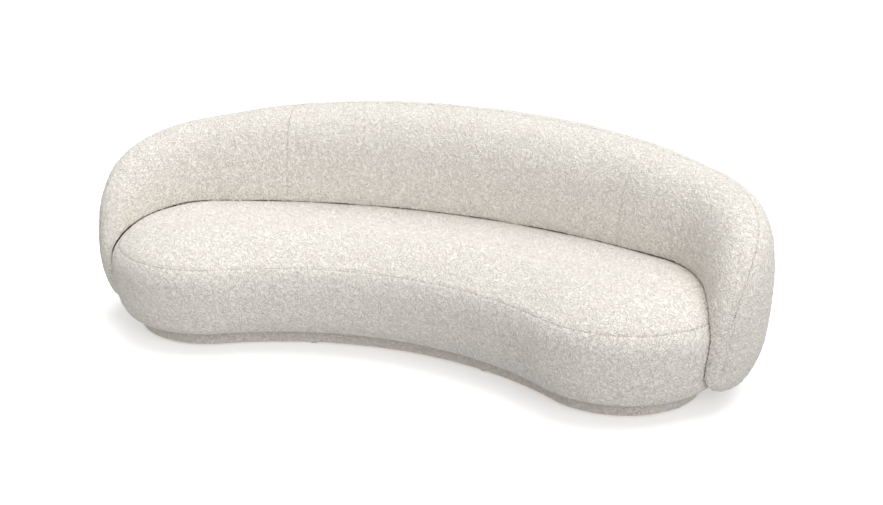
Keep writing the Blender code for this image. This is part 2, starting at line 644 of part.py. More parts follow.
def build_back(parent):
    """Foam, frame, lining and the six panels of the back's cover."""
    base = build_back_frame(parent)
    shares = back_shares(True)
    outer, inner = back_surface(shares, 0.0), back_surface(shares, COVER)
    columns = outer.shape[1]
    skip = {REAR_COVER_STEPS + 1, columns - 1 - SLOT_STEPS, columns - 1}
    keep = [column for column in range(columns) if column not in skip]
    whole = [row for row, share in enumerate(shares)
             if not any(abs(share) < abs(other) < abs(share) + 0.001 for other in shares)]
    foam_surface = back_surface(shares, COVER + FOAM_GAP)[whole][:, keep]
    rows, kept = foam_surface.shape[:2]
    faces = []
    for row in range(rows - 1):
        for column in range(kept):
            faces.extend(split_cell(row, column, rows, kept))
    foam = add_node("back_foam", closed_mesh("back_foam", foam_surface.reshape(-1, 3), faces), "foam", parent)
    frame = frame_shares()
    frame = [frame[0] - GAP] + frame[1:-1] + [frame[-1] + GAP]
    hollow = []
    for share in frame:
        front_low, front_top, rear_foot, rear_side, rear_top, top = frame_lines(share)
        heights = rear_heights(top)
        play, board_low = FRAME_PLAY, BACK_BOARD_LOW - GAP
        hollow.append([
            (front_low - GAP, board_low), (front_low - GAP, BACK_BOARD_TOP),
            (front_low - play, BACK_BOARD_TOP + play), (front_low - play, FRAME_KNEE - play),
            (front_top - play, top + play), (rear_top + play, top + play),
            (rear_side + play, heights[2]), (rear_side + play, heights[1] - play),
            (rear_foot + play, BACK_BOARD_TOP), (rear_foot + GAP, BACK_BOARD_TOP - play),
            (rear_foot + GAP, board_low)])
    places = [share * BACK_LENGTH for share in frame]
    cut(foam, [(sweep_mesh("back_hollow", places, hollow), (0, 0, 0), 0.0)])

    seam = sum(1 for share in shares if share < -seam_share())      # first row past the left seam
    cap = sum(1 for share in shares if share < -cap_share())
    last = len(shares) - 1
    rear = range(0, REAR_COVER_STEPS)
    front = range(REAR_COVER_STEPS + 1, REAR_COVER_STEPS + 1 + FACE_STEPS + CONTACT_STEPS)
    slot = range(front[-1] + 2, front[-1] + 2 + SLOT_STEPS)
    spans = {"left": range(0, seam - 1), "centre": range(seam, last - seam), "right": range(last - seam + 1, last)}
    round_nose = {"left": range(0, cap - 1), "centre": range(0), "right": range(last - cap + 1, last)}
    every = range(outer.shape[1])
    for side, span in spans.items():
        behind = [row for row in span if cap <= row < last - cap]
        tip = list(round_nose[side])
        neck = [row for row in span if row not in tip and row not in behind]
        cells = [(row, column) for row in span for column in front if row not in tip]
        cells += [(row, column) for row in tip for column in every]
        name = "back_front_" + side
        add_node(name, patch_mesh(name, outer, inner, cells), "boucle", parent)
        cells = [(row, column) for row in behind if row not in neck for column in rear]
        name = "back_rear_" + side
        add_node(name, patch_mesh(name, outer, inner, cells), "boucle", parent)
    cells = [(row, column) for row in range(cap, last - cap) for column in slot]
    lining = add_node("back_lining", patch_mesh("back_lining", outer, inner, cells), "lining", parent)
    return base, lining


# ---------------------------------------------------------------- seat

def build_seat(parent):
    """Board, rails, straps, foam, lining and the seat's three covers."""
    places = loop_places()
    lip_edge = SEAT_FOOT - SEAT_LIP_IN
    lining = ring_solid("seat_lining", [(lip_edge - SEAM_GAP, UNDERSIDE), (lip_edge - SEAM_GAP, UNDERSIDE + COVER)],
                        "lining", parent)
    board_out = SEAT_FOOT - COVER - FOAM_GAP
    board = ring_solid("seat_base_board", [(board_out, BOARD_LOW), (board_out, BOARD_TOP)], "plywood", parent)

    rail = rectangle(-SEAT_RAIL, 0.0, RAIL_LOW, SEAT_RAIL_TOP)
    turn_in, turn_out = REAR_LENGTH + GAP, REAR_LENGTH + END_LENGTH - GAP
    rear = between(sorted(places), -REAR_LENGTH, REAR_LENGTH)
    add_node("seat_rear_rail", sweep_mesh("seat_rear_rail", rear, rail), "solid_wood", parent)
    right = between(places, turn_in, turn_out)
    add_node("seat_end_rail_right", sweep_mesh("seat_end_rail_right", right, rail), "plywood", parent)
    left = [-place for place in right]
    add_node("seat_end_rail_left", sweep_mesh("seat_end_rail_left", left, rail), "plywood", parent)
    front = between(places, REAR_LENGTH + END_LENGTH, HALF_LENGTH)
    front = front + [-place for place in front[-2::-1]]
    add_node("seat_front_rail", sweep_mesh("seat_front_rail", front, rail), "solid_wood", parent)

    for number in range(3):
        x = (number - 1) * CROSS_RAIL_SPACING
        low, high = rung(x, CROSS_RAIL_WIDTH, -SEAT_RAIL - GAP)
        mesh = box_mesh("seat_cross_rail", CROSS_RAIL_WIDTH, high - low, CROSS_RAIL_HEIGHT)
        name = "seat_cross_rail_%d" % (number + 1)
        add_node(name, mesh, "solid_wood", parent, location=(x, (low + high) / 2, RAIL_LOW))
    for number in range(STRAPS):
        x = (number - (STRAPS - 1) / 2) * STRAP_SPACING
        low, high = rung(x, STRAP_WIDTH, -SEAT_RAIL / 4)
        mesh = box_mesh("seat_strap", STRAP_WIDTH, high - low, STRAP_THICKNESS)
        name = "seat_strap_%d" % (number + 1)
        add_node(name, mesh, "webbing", parent, location=(x, (low + high) / 2, STRAP_LOW))

    inward = COVER + FOAM_GAP
    ceiling = STRAP_LOW + STRAP_THICKNESS + GAP
    foam = [(GAP, ceiling), (GAP, RAIL_LOW)]
    seam = seam_angle()
    foam += above(lower_side(inward, UNDERSIDE + COVER, 4), RAIL_LOW)
    foam += upper_side(inward, 0.0, seam, 2)[1:] + upper_side(inward, seam, math.pi / 2, 5)[1:]
    ring_solid("seat_foam", foam, "foam", parent)

    rise = SEAM_GAP / 2 / (SEAT_HEIGHT - BULGE_HEIGHT)
    inside = upper_side(COVER, math.pi / 2, seam + rise, 5)
    outside = upper_side(0.0, seam + rise, math.pi / 2, 5)
    ring_solid("seat_top_cover", inside + outside, "boucle", parent)

    outside = [(lip_edge, UNDERSIDE)] + lower_side(0.0, UNDERSIDE, 4) + upper_side(0.0, 0.0, seam - rise, 2)[1:]
    inside = lower_side(COVER, UNDERSIDE + COVER, 4) + upper_side(COVER, 0.0, seam - rise, 2)[1:]
    band = outside + inside[::-1] + [(lip_edge, UNDERSIDE + COVER)]
    joint = places[REAR_STEPS + END_STEPS // 2 - 1]
    rear = between(sorted(places), -joint + SEAM_GAP / 2, joint - SEAM_GAP / 2)
    add_node("seat_band_rear", sweep_mesh("seat_band_rear", rear, band), "boucle", parent)
    half = between(places[:len(places) // 2 + 1], joint + SEAM_GAP / 2, HALF_LENGTH)
    front = half + [-place for place in half[-2::-1]]
    add_node("seat_band_front", sweep_mesh("seat_band_front", front, band), "boucle", parent)
    return board, lining


def rung(x, width, out):
    """The y of a bar's two ends, front to rear, where it meets the plan moved out by a distance."""
    fronts, rears = [], []
    flat = math.cos(REAR_ANGLE / REAR_STEPS / 2)
    for side in (x - width / 2, x, x + width / 2):
        front_radius, rear_radius = FRONT_RADIUS - out, (REAR_RADIUS + out) * flat
        fronts.append(FRONT_CENTRE + math.sqrt(front_radius ** 2 - side ** 2))
        rears.append(REAR_CENTRE + math.sqrt(rear_radius ** 2 - side ** 2))
    return max(fronts) + PLAN_Y, min(rears) + PLAN_Y


# ---------------------------------------------------------------- plinth

def build_plinth(parent):
    """Rails, crossbars, fabric band and glides. Returns the rear rail."""
    places = loop_places()
    outer = -COVER - FOAM_GAP
    low = GLIDE_HEIGHT + GAP
    rail = rectangle(outer - PLINTH_RAIL, outer, low, PLINTH_HEIGHT)
    rear_places = between(sorted(places), -REAR_LENGTH, REAR_LENGTH)
    rear = add_node("plinth_rear_rail", sweep_mesh("plinth_rear_rail", rear_places, rail), "solid_wood", parent)
    right = between(places, REAR_LENGTH + GAP, REAR_LENGTH + END_LENGTH - GAP)
    add_node("plinth_end_right", sweep_mesh("plinth_end_right", right, rail), "solid_wood", parent)
    left = [-place for place in right]
    add_node("plinth_end_left", sweep_mesh("plinth_end_left", left, rail), "solid_wood", parent)
    front = between(places, REAR_LENGTH + END_LENGTH, HALF_LENGTH)
    front = front + [-place for place in front[-2::-1]]
    add_node("plinth_front_rail", sweep_mesh("plinth_front_rail", front, rail), "solid_wood", parent)
    for number in range(2):
        x = (number - 0.5) * CROSS_RAIL_SPACING
        front_y, rear_y = rung(x, CROSS_RAIL_WIDTH, outer - PLINTH_RAIL - GAP)
        mesh = box_mesh("plinth_crossbar", CROSS_RAIL_WIDTH, rear_y - front_y, PLINTH_HEIGHT - low)
        name = "plinth_crossbar_%d" % (number + 1)
        add_node(name, mesh, "solid_wood", parent, location=(x, (front_y + rear_y) / 2, low))
    band = rectangle(-COVER, 0.0, PLINTH_COVER_FOOT, PLINTH_COVER_TOP)
    add_node("plinth_cover", sweep_mesh("plinth_cover", places, band, closed=True), "plinth_boucle", parent)
    glide = turned_mesh("glide", [(GLIDE_RADIUS - 0.002, 0.0), (GLIDE_RADIUS, 0.0015), (GLIDE_RADIUS, GLIDE_HEIGHT)], 16)
    for number in range(GLIDE_PLACES):
        side = -1 if number % 2 else 1
        place = (REAR_LENGTH / 2, REAR_LENGTH + END_LENGTH / 2, HALF_LENGTH - FRONT_RADIUS * FRONT_ANGLE / 2)
        x, y, _, _ = plan(side * place[number // 2], outer - PLINTH_RAIL / 2)
        add_node("glide_%d" % (number + 1), glide, "glide", parent, location=(float(x), float(y), 0))
    return rear


def build_ties(parent, plinth_rail, seat_board, seat_lining, back_board, back_lining):
    """Steel plates and bolts under the seat and the back, with the notches and holes they need."""
    bolt_low = TIE_LOW - GAP
    bolt = turned_mesh("tie_bolt", [(BOLT_HEAD_RADIUS, -BOLT_HEAD), (BOLT_HEAD_RADIUS, 0.0), (BOLT_RADIUS, 0.0),
                                    (BOLT_RADIUS, BOARD_LOW - bolt_low + BOLT_REACH)], 12)
    hole_depth = BOARD_LOW + BOLT_REACH + GAP - bolt_low
    hole = turned_mesh("tie_hole", [(BOLT_RADIUS + HOLE_PLAY, 0.0), (BOLT_RADIUS + HOLE_PLAY, hole_depth)], 12)
    notch = box_mesh("tie_notch", TIE_WIDTH + 2 * GAP, 0.3, 0.1)
    notches, seat_holes, back_holes = [], [], []
    for number in range(3):
        place = (number - 1) * TIE_SPACING * BACK_LENGTH
        x, y, out_x, out_y = (float(value) for value in plan(place, 0.0))
        turn = -math.atan2(out_x, out_y)
        middle = (TIE_IN + TIE_OUT) / 2
        plate = box_mesh("tie_plate", TIE_WIDTH, TIE_OUT - TIE_IN, TIE_THICKNESS)
        node = add_node("tie_plate_%d" % (number + 1), plate, "steel", parent,
                        location=(x + out_x * middle, y + out_y * middle, TIE_LOW), turn=turn)
        notches.append((notch, (x, y, TIE_LOW - GAP), turn))
        holes = []
        for which, out in (("seat", TIE_BOLT_IN), ("back", TIE_BOLT_OUT)):
            spot = (x + out_x * out, y + out_y * out, bolt_low)
            add_node("tie_bolt_%s_%d" % (which, number + 1), bolt, "steel", parent, location=spot)
            holes.append((hole, spot, 0.0))
        cut(node, holes)
        seat_holes.append(holes[0])
        back_holes.append(holes[1])
    cut(plinth_rail, notches)
    cut(seat_board, seat_holes)
    cut(seat_lining, seat_holes)
    cut(back_board, back_holes)
    cut(back_lining, back_holes)


def middle_y():
    """How far the plan moves in Y to put the origin under the middle of the sofa."""
    rear = plan(0.0, back_row(0.0)[:, 1].max())[1]
    front = plan(loop_places(), SEAT_BULGE)[1].min()
    return -float(rear + front) / 2


clear_scene()
PLAN_Y = 0.0                # the round ends' centres, before the plan is moved
PLAN_Y = middle_y()
plinth_rail_node = build_plinth(add_group("plinth"))
seat_board_node, seat_lining_node = build_seat(add_group("seat"))
back_board_node, back_lining_node = build_back(add_group("back"))
build_ties(add_group("ties"), plinth_rail_node, seat_board_node, seat_lining_node, back_board_node,
           back_lining_node)
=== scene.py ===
"""Crescent sofa: looped-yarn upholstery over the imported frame, its finishes, light and camera."""

import json
import logging
import math
from collections.abc import Sequence
from dataclasses import dataclass, field
from enum import Enum

import bpy
import numpy as np
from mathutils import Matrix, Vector
from mathutils.bvhtree import BVHTree
from mathutils.kdtree import KDTree


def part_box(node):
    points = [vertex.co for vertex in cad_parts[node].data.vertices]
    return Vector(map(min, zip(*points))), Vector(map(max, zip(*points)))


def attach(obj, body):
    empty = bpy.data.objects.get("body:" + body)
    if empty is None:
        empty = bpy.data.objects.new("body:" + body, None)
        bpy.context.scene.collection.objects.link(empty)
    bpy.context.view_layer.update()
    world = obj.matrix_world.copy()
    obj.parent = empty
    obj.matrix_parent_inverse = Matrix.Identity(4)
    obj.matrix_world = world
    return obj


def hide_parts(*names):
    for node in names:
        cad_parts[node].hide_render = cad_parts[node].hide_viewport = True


logging.basicConfig(level=logging.INFO, format="%(name)s: %(message)s")
LOG = logging.getLogger("crescent_sofa")

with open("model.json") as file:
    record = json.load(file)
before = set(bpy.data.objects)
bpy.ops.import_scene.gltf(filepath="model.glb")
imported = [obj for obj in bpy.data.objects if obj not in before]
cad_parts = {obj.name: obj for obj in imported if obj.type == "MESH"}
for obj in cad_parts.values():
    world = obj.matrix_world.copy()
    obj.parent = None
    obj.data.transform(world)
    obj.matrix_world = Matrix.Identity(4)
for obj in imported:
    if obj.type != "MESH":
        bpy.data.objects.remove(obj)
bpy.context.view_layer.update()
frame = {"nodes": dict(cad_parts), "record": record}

Colour = tuple[float, float, float]
Rings = list[tuple[float, float]]
Cage = tuple[np.ndarray, list[tuple[int, ...]], np.ndarray]
MM = 0.001
SEAM_SPACING = 2 * MM       # between the points that mark a seam


# ---------------------------------------------------------------- bpy.ops helpers

def deselect() -> None:
    """Leave object mode with nothing selected."""
    if bpy.context.object is not None and bpy.context.object.mode != "OBJECT":
        bpy.ops.object.mode_set(mode="OBJECT")
    bpy.ops.object.select_all(action="DESELECT")


def activate(*pieces: bpy.types.Object) -> None:
    """Select pieces and make the first of them active.

    Args:
        pieces: the objects that the next operator acts on.
    """
    deselect()
    for piece in pieces:
        piece.select_set(True)
    bpy.context.view_layer.objects.active = pieces[0]


def apply_modifier(piece: bpy.types.Object, kind: str, **settings: object) -> None:
    """Add a modifier to a piece, set it up and apply it.

    Args:
        piece: the object to change.
        kind: the modifier's type.
        settings: the modifier's own values.
    """
    activate(piece)
    bpy.ops.object.modifier_add(type=kind)
    modifier = piece.modifiers[-1]
    for name, value in settings.items():
        setattr(modifier, name, value)
    bpy.ops.object.modifier_apply(modifier=modifier.name)


def places_of(piece: bpy.types.Object) -> np.ndarray:
    """The places of a piece's points, one row each."""
    flat = np.empty(len(piece.data.vertices) * 3, np.float32)
    piece.data.vertices.foreach_get("co", flat)
    return flat.reshape(-1, 3).astype(float)


def normals_of(piece: bpy.types.Object) -> np.ndarray:
    """The directions in which a piece's points face, one row each."""
    flat = np.empty(len(piece.data.vertices) * 3, np.float32)
    piece.data.vertices.foreach_get("normal", flat)
    return flat.reshape(-1, 3).astype(float)


def move_points(piece: bpy.types.Object, places: np.ndarray) -> None:
    """Put a piece's points at new places."""
    piece.data.vertices.foreach_set("co", places.astype(np.float32).ravel())
    piece.data.update()


# ---------------------------------------------------------------- the sofa's form

@dataclass(frozen=True)
class Plan:
    """The bean-shaped plan: four arcs that run into each other on the plinth's face."""

    end_spread: float = 0.758
    end_radius: float = 0.278
    front_radius: float = 1.141
    rear_radius: float = 2.087

    @property
    def rear_angle(self) -> float:
        """Half the angle of the long rear arc."""
        return math.asin(self.end_spread / (self.rear_radius - self.end_radius))

    @property
    def front_angle(self) -> float:
        """Half the angle of the hollow front arc."""
        return math.asin(self.end_spread / (self.front_radius + self.end_radius))

    @property
    def rear_length(self) -> float:
        """Half the length of the rear arc."""
        return self.rear_radius * self.rear_angle

    @property
    def end_length(self) -> float:
        """Length of one round end."""
        return self.end_radius * (math.pi + self.front_angle - self.rear_angle)

    @property
    def half_length(self) -> float:
        """From the middle of the rear round to the middle of the front."""
        return self.rear_length + self.end_length + self.front_radius * self.front_angle

    @property
    def rear_centre(self) -> float:
        """The rear arc's centre behind the line through the ends' centres."""
        return -math.sqrt((self.rear_radius - self.end_radius) ** 2 - self.end_spread ** 2)

    @property
    def front_centre(self) -> float:
        """The front arc's centre in front of the line through the ends' centres."""
        return -math.sqrt((self.front_radius + self.end_radius) ** 2 - self.end_spread ** 2)

    @property
    def shift(self) -> float:
        """How far the plan lies behind its own arcs, from where the plinth's cover is."""
        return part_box("plinth_cover")[1].y - (self.rear_centre + self.rear_radius)

    def world(self, along: np.ndarray, out: np.ndarray, height: np.ndarray) -> np.ndarray:
        """Points of the sofa.

        Args:
            along: distances round the plan from the middle of its rear, negative to the left.
            out: distances out of the plan.
            height: heights over the floor.

        Returns:
            One row of x, y and z for each place.
        """
        along, out, height = np.broadcast_arrays(along, out, height)
        side, run = np.where(along < 0, -1.0, 1.0), np.abs(along)
        on_rear = run <= self.rear_length
        on_front = run > self.rear_length + self.end_length
        angle = np.where(on_rear, run / self.rear_radius,
                         self.rear_angle + (run - self.rear_length) / self.end_radius)
        front_run = run - self.rear_length - self.end_length
        angle = np.where(on_front, self.front_angle - front_run / self.front_radius, angle)
        centre_x = np.where(on_rear | on_front, 0.0, self.end_spread)
        centre_y = np.where(on_rear, self.rear_centre, np.where(on_front, self.front_centre, 0.0))
        radius = np.where(on_rear, self.rear_radius + out,
                          np.where(on_front, self.front_radius - out, self.end_radius + out))
        x = side * (centre_x + radius * np.sin(angle))
        y = centre_y + radius * np.cos(angle) + self.shift
        return np.stack([x, y, height], -1)

    def places(self, step: float, bulge: float) -> np.ndarray:
        """Places once round the plan, closer together on the ends.

        Args:
            step: the distance between them.
            bulge: how far out of the plan that distance holds on the ends.

        Returns:
            Distances along the plan: the right half's, then the left half's back to the start.
        """
        parts, start = [], 0.0
        tight = 1 + bulge / self.end_radius
        front_length = self.half_length - self.rear_length - self.end_length
        for length, stretch in ((self.rear_length, 1.0), (self.end_length, tight), (front_length, 1.0)):
            count = max(2, round(length * stretch / step))
            parts.append(start + length * np.arange(count) / count)
            start += length
        right = np.concatenate(parts + [[self.half_length]])
        return np.concatenate([right, -right[-2:0:-1]])


@dataclass(frozen=True)
class SeatForm:
    """The seat's section: an undercut side, full at its middle, that rolls over to the top."""

    underside: float = 0.0586
    height: float = 0.390
    seam_height: float = 0.307
    foot: float = 0.038
    bulge: float = 0.093
    bulge_height: float = 0.244
    crown_inset: float = 0.140
    crown_power: float = 1.89

    def side(self, height: np.ndarray) -> np.ndarray:
        """How far out the side stands at heights."""
        low = np.clip((self.bulge_height - height) / (self.bulge_height - self.underside), 0, 1)
        lower = self.foot + (self.bulge - self.foot) * np.sqrt(1 - low ** 2)
        rise = np.clip((height - self.bulge_height) / (self.height - self.bulge_height), 0, 1)
        reach = np.power(1 - rise ** self.crown_power, 1 / self.crown_power)
        upper = -self.crown_inset + (self.bulge + self.crown_inset) * reach
        return np.where(height < self.bulge_height, lower, upper)

    def lower_rings(self, steps: int) -> Rings:
        """Rings (out, height) from the foot up to the fullest line."""
        turns = np.linspace(0, math.pi / 2, steps + 1)
        out = self.foot + (self.bulge - self.foot) * np.sin(turns)
        height = self.bulge_height - (self.bulge_height - self.underside) * np.cos(turns)
        return list(zip(out, height))

    def upper_rings(self, start: float, end: float, steps: int) -> Rings:
        """Rings (out, height) between two turns of the rolled-over edge."""
        turns = np.linspace(start, end, steps + 1)
        wide, rise = np.maximum(np.cos(turns), 0.0), np.maximum(np.sin(turns), 0.0)
        out = -self.crown_inset + (self.bulge + self.crown_inset) * wide ** (2 / self.crown_power)
        height = self.bulge_height + (self.height - self.bulge_height) * rise ** (2 / self.crown_power)
        return list(zip(out, height))

    @property
    def seam_turn(self) -> float:
        """The turn of the rolled-over edge where the seam lies."""
        rise = (self.seam_height - self.bulge_height) / (self.height - self.bulge_height)
        return math.asin(rise ** (self.crown_power / 2))


@dataclass(frozen=True)
class BackForm:
    """The back's section and how it draws in along the sofa to a rounded nose at each end."""

    height: float = 0.735
    face_in: float = 0.108
    rear_out: float = 0.340
    face_taper: tuple[float, float] = (0.038, 0.018)
    rear_taper: tuple[float, float] = (-0.176, 0.017)
    top_fall: tuple[float, float] = (-0.151, -0.040)
    power: float = 2.72
    lean: tuple[float, float] = (-0.0127, 0.0182)
    wrap: float = 1.65
    nose_start: float = 0.554
    nose_powers: tuple[float, float] = (5.6, 2.71)
    tip_height: float = 0.172
    tip_out: float = 0.012
    drop: float = 0.040
    drop_start: float = 0.50
    drop_span: float = 0.40
    underside_round: float = 0.030
    shear: float = 0.0426
    ridge: tuple[float, float] = (0.118, 0.137)
    upright_seams: tuple[float, float] = (-0.465, 0.530)
    cap_seam: float = 0.975
    crease: float = 0.3 * MM
    nose_crease: float = 2.5 * MM
    contact_foot: float = 0.120
    samples: int = 2161

    def nose_share(self, share: float) -> float:
        """How far along its rounding off the back is, from 0 to 1 at the tip."""
        return min(max((share - self.nose_start) / (1 - self.nose_start), 0.0), 1.0)

    def limits(self, share: float, seat: SeatForm) -> tuple[float, ...]:
        """The section's size and place at a share of the back's half length.

        Args:
            share: from 0 at the middle to 1 at a nose's tip.
            seat: the seat that the back wraps.

        Returns:
            Half height, half depth, centre height, centre distance out, how tall it still is and
            the height of its flat underside.
        """
        ease = min(max((share - self.drop_start) / self.drop_span, 0.0), 1.0)
        ease = ease * ease * (3 - 2 * ease)
        flat = seat.underside - self.drop * ease
        low = flat - self.underside_round * (1 - ease)
        square, fourth = share ** 2, share ** 4
        top = self.height + self.top_fall[0] * square + self.top_fall[1] * fourth
        face = -self.face_in + self.face_taper[0] * square + self.face_taper[1] * fourth
        rear = self.rear_out + self.rear_taper[0] * square + self.rear_taper[1] * fourth
        nose = self.nose_share(share)
        tall = math.sqrt(1 - nose ** self.nose_powers[0])
        deep = math.sqrt(1 - nose ** self.nose_powers[1])
        tip = seat.bulge + self.tip_out
        centre_height = self.tip_height + tall * ((top + low) / 2 - self.tip_height)
        centre_out = tip + deep * ((face + rear) / 2 - tip)
        flat = self.tip_height + tall * (flat - self.tip_height)
        return tall * (top - low) / 2, deep * (rear - face) / 2, centre_height, centre_out, tall, flat

    def section(self, share: float, seat: SeatForm, length: float) -> tuple[np.ndarray, ...]:
        """The section once round, as dense runs of points.

        Args:
            share: signed share of the back's half length.
            seat: the seat that the back wraps.
            length: the back's half length.

        Returns:
            The turn, and at each turn the distance along the plan, out of it and the height.
        """
        size = abs(share)
        half_height, half_depth, centre_height, centre_out, tall, flat = self.limits(size, seat)
        turn = np.linspace(-math.pi, 2 * math.pi, self.samples)
        wide = np.sign(np.cos(turn)) * np.abs(np.cos(turn)) ** (2 / self.power)
        rise = np.sign(np.sin(turn)) * np.abs(np.sin(turn)) ** (2 / self.power)
        lean = (self.lean[0] + (self.lean[1] - self.lean[0]) * size) * tall
        out = centre_out + half_depth * wide + lean * rise
        height = np.maximum(centre_height + half_height * rise, flat)
        nose = self.nose_share(size)
        crease = self.crease + self.nose_crease * nose ** 2
        wall = seat.side(np.maximum(height - crease / 2, self.contact_foot)) + crease
        out = np.where(height < seat.height + crease, np.maximum(out, wall), out)
        along = length * size - self.shear * half_height * rise * nose ** 1.5
        return turn, math.copysign(1.0, share) * along, out, height

    def turn_at(self, wide: float) -> float:
        """The turn on the section's upper rear quarter where its width share is wide."""
        wide = min(max(wide, -1.0), 1.0)
        return math.acos(math.copysign(abs(wide) ** (self.power / 2), wide))


# ---------------------------------------------------------------- upholstery

@dataclass
class Upholstery:
    """One padded body of the sofa, from its cage to the yarn on its cover."""

    name: str
    stands_for: tuple[str, ...]
    slot: str
    fill: float
    cage_step: float = 0.021
    clearance: float = 1.5 * MM
    plumpness: float = 5 * MM
    pressure: float = 4.0
    frames: int = 20
    levels: int = 2
    seam_width: float = 5 * MM
    seam_depth: float = 1.8 * MM
    loop_size: float = 10 * MM
    loop_height: float = 4.2 * MM
    swell_size: float = 0.17
    swell_height: float = 4.5 * MM
    bare_below: float = 70 * MM
    bare_tilt: float = -0.7
    search: float = 0.05
    room_share: float = 0.3
    weld: float = 0.5 * MM
    piece: bpy.types.Object = field(init=False, default=None)

    def cage(self) -> Cage:
        """The cage's points, its faces and which of its points are sewn or pressed down."""
        raise NotImplementedError

    def seam_lines(self) -> np.ndarray:
        """Points close together along every seam."""
        raise NotImplementedError

    def build_cage(self) -> None:
        """Make the cage's object, with its sewn points in a vertex group."""
        points, faces, held = self.cage()
        mesh = bpy.data.meshes.new(self.name)
        mesh.from_pydata([tuple(point) for point in points], [], faces)
        self.piece = bpy.data.objects.new(self.name, mesh)
        bpy.context.scene.collection.objects.link(self.piece)
        group = self.piece.vertex_groups.new(name="sewn")
        group.add([int(number) for number in np.flatnonzero(held)], 1.0, "REPLACE")
        activate(self.piece)
        bpy.ops.object.mode_set(mode="EDIT")
        bpy.ops.mesh.select_all(action="SELECT")
        bpy.ops.mesh.remove_doubles(threshold=self.weld)
        bpy.ops.mesh.normals_make_consistent(inside=False)
        bpy.ops.object.mode_set(mode="OBJECT")
        LOG.info("%s cage: %d points", self.name, len(mesh.vertices))

    def plump(self, neighbours: Sequence["Upholstery"]) -> None:
        """Blow the cover up between its seams, no further than it has room for.

        Args:
            neighbours: the bodies that it must stay clear of.
        """
        rest = places_of(self.piece)
        room = np.full(len(rest), self.plumpness)
        for other in neighbours:
            tree = BVHTree.FromObject(other.piece, bpy.context.evaluated_depsgraph_get())
            for number, place in enumerate(rest):
                near = tree.find_nearest(place, self.search)
                if near[0] is not None:
                    free = self.room_share * (near[3] - 2 * self.clearance)
                    room[number] = min(room[number], max(free, 0.0))
        activate(self.piece)
        bpy.ops.object.modifier_add(type="CLOTH")
        cloth = self.piece.modifiers[-1]
        cloth.settings.use_pressure = True
        cloth.settings.uniform_pressure_force = self.pressure
        cloth.settings.vertex_group_mass = "sewn"
        cloth.settings.effector_weights.gravity = 0.0
        cloth.point_cache.frame_start, cloth.point_cache.frame_end = 1, self.frames
        for step in range(1, self.frames + 1):
            bpy.context.scene.frame_set(step)
        bpy.ops.object.modifier_apply(modifier=cloth.name)
        bpy.context.scene.frame_set(1)
        move = places_of(self.piece) - rest
        reach = np.maximum(np.linalg.norm(move, axis=1), 1e-9)
        move *= (np.minimum(reach, room) / reach)[:, None]
        move_points(self.piece, rest + move)
        LOG.info("%s plumped: %.1f mm at most", self.name, np.linalg.norm(move, axis=1).max() / MM)

    def refine(self) -> None:
        """Smooth the cage out to the fine surface that carries the yarn."""
        apply_modifier(self.piece, "SUBSURF", levels=self.levels, render_levels=self.levels)
        LOG.info("%s refined: %d points", self.name, len(self.piece.data.vertices))

    def mark_seams(self) -> np.ndarray:
        """Store on every point how far the nearest seam is, and return it."""
        line = self.seam_lines()
        tree = KDTree(len(line))
        for number, place in enumerate(line):
            tree.insert(place, number)
        tree.balance()
        reach = np.array([tree.find(place)[2] for place in places_of(self.piece)])
        mark = self.piece.data.attributes.new("seam_reach", "FLOAT", "POINT")
        mark.data.foreach_set("value", reach.astype(np.float32))
        return reach

    def sew(self, reach: np.ndarray) -> None:
        """Draw the surface in along the seams.

        Args:
            reach: each point's distance to the nearest seam.
        """
        pull = self.seam_depth * np.exp(-(reach / self.seam_width) ** 2)
        move_points(self.piece, places_of(self.piece) - pull[:, None] * normals_of(self.piece))

    def raise_yarn(self) -> None:
        """Give the cover its soft unevenness and the relief of its looped yarn."""
        bare = self.piece.vertex_groups.new(name="bare")
        low = places_of(self.piece)[:, 2] < self.bare_below
        under = low & (normals_of(self.piece)[:, 2] < self.bare_tilt)
        bare.add([int(number) for number in np.flatnonzero(under)], 1.0, "REPLACE")
        for name, kind, size, height in (("swell", "SOFT_NOISE", self.swell_size, self.swell_height),
                                         ("loops", "HARD_NOISE", self.loop_size, self.loop_height)):
            if not height:
                continue
            texture = bpy.data.textures.new(self.name + "_" + name, "CLOUDS")
            texture.noise_type = kind
            texture.noise_scale = size
            texture.noise_depth = 1
            apply_modifier(self.piece, "DISPLACE", texture=texture, texture_coords="LOCAL",
                           vertex_group="bare", invert_vertex_group=True, strength=height,
                           mid_level=0.5)

    def finish(self, material: bpy.types.Material) -> None:
        """Shade the piece smooth, dress it, hang it on the root body and hide the parts it stands for.

        Args:
            material: the cover's fabric.
        """
        activate(self.piece)
        bpy.ops.object.shade_smooth()
        self.piece.vertex_groups.clear()
        self.piece.data.materials.clear()
        self.piece.data.materials.append(material)
        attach(self.piece, "root")
        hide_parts(*self.stands_for)
        LOG.info("%s finished", self.name)


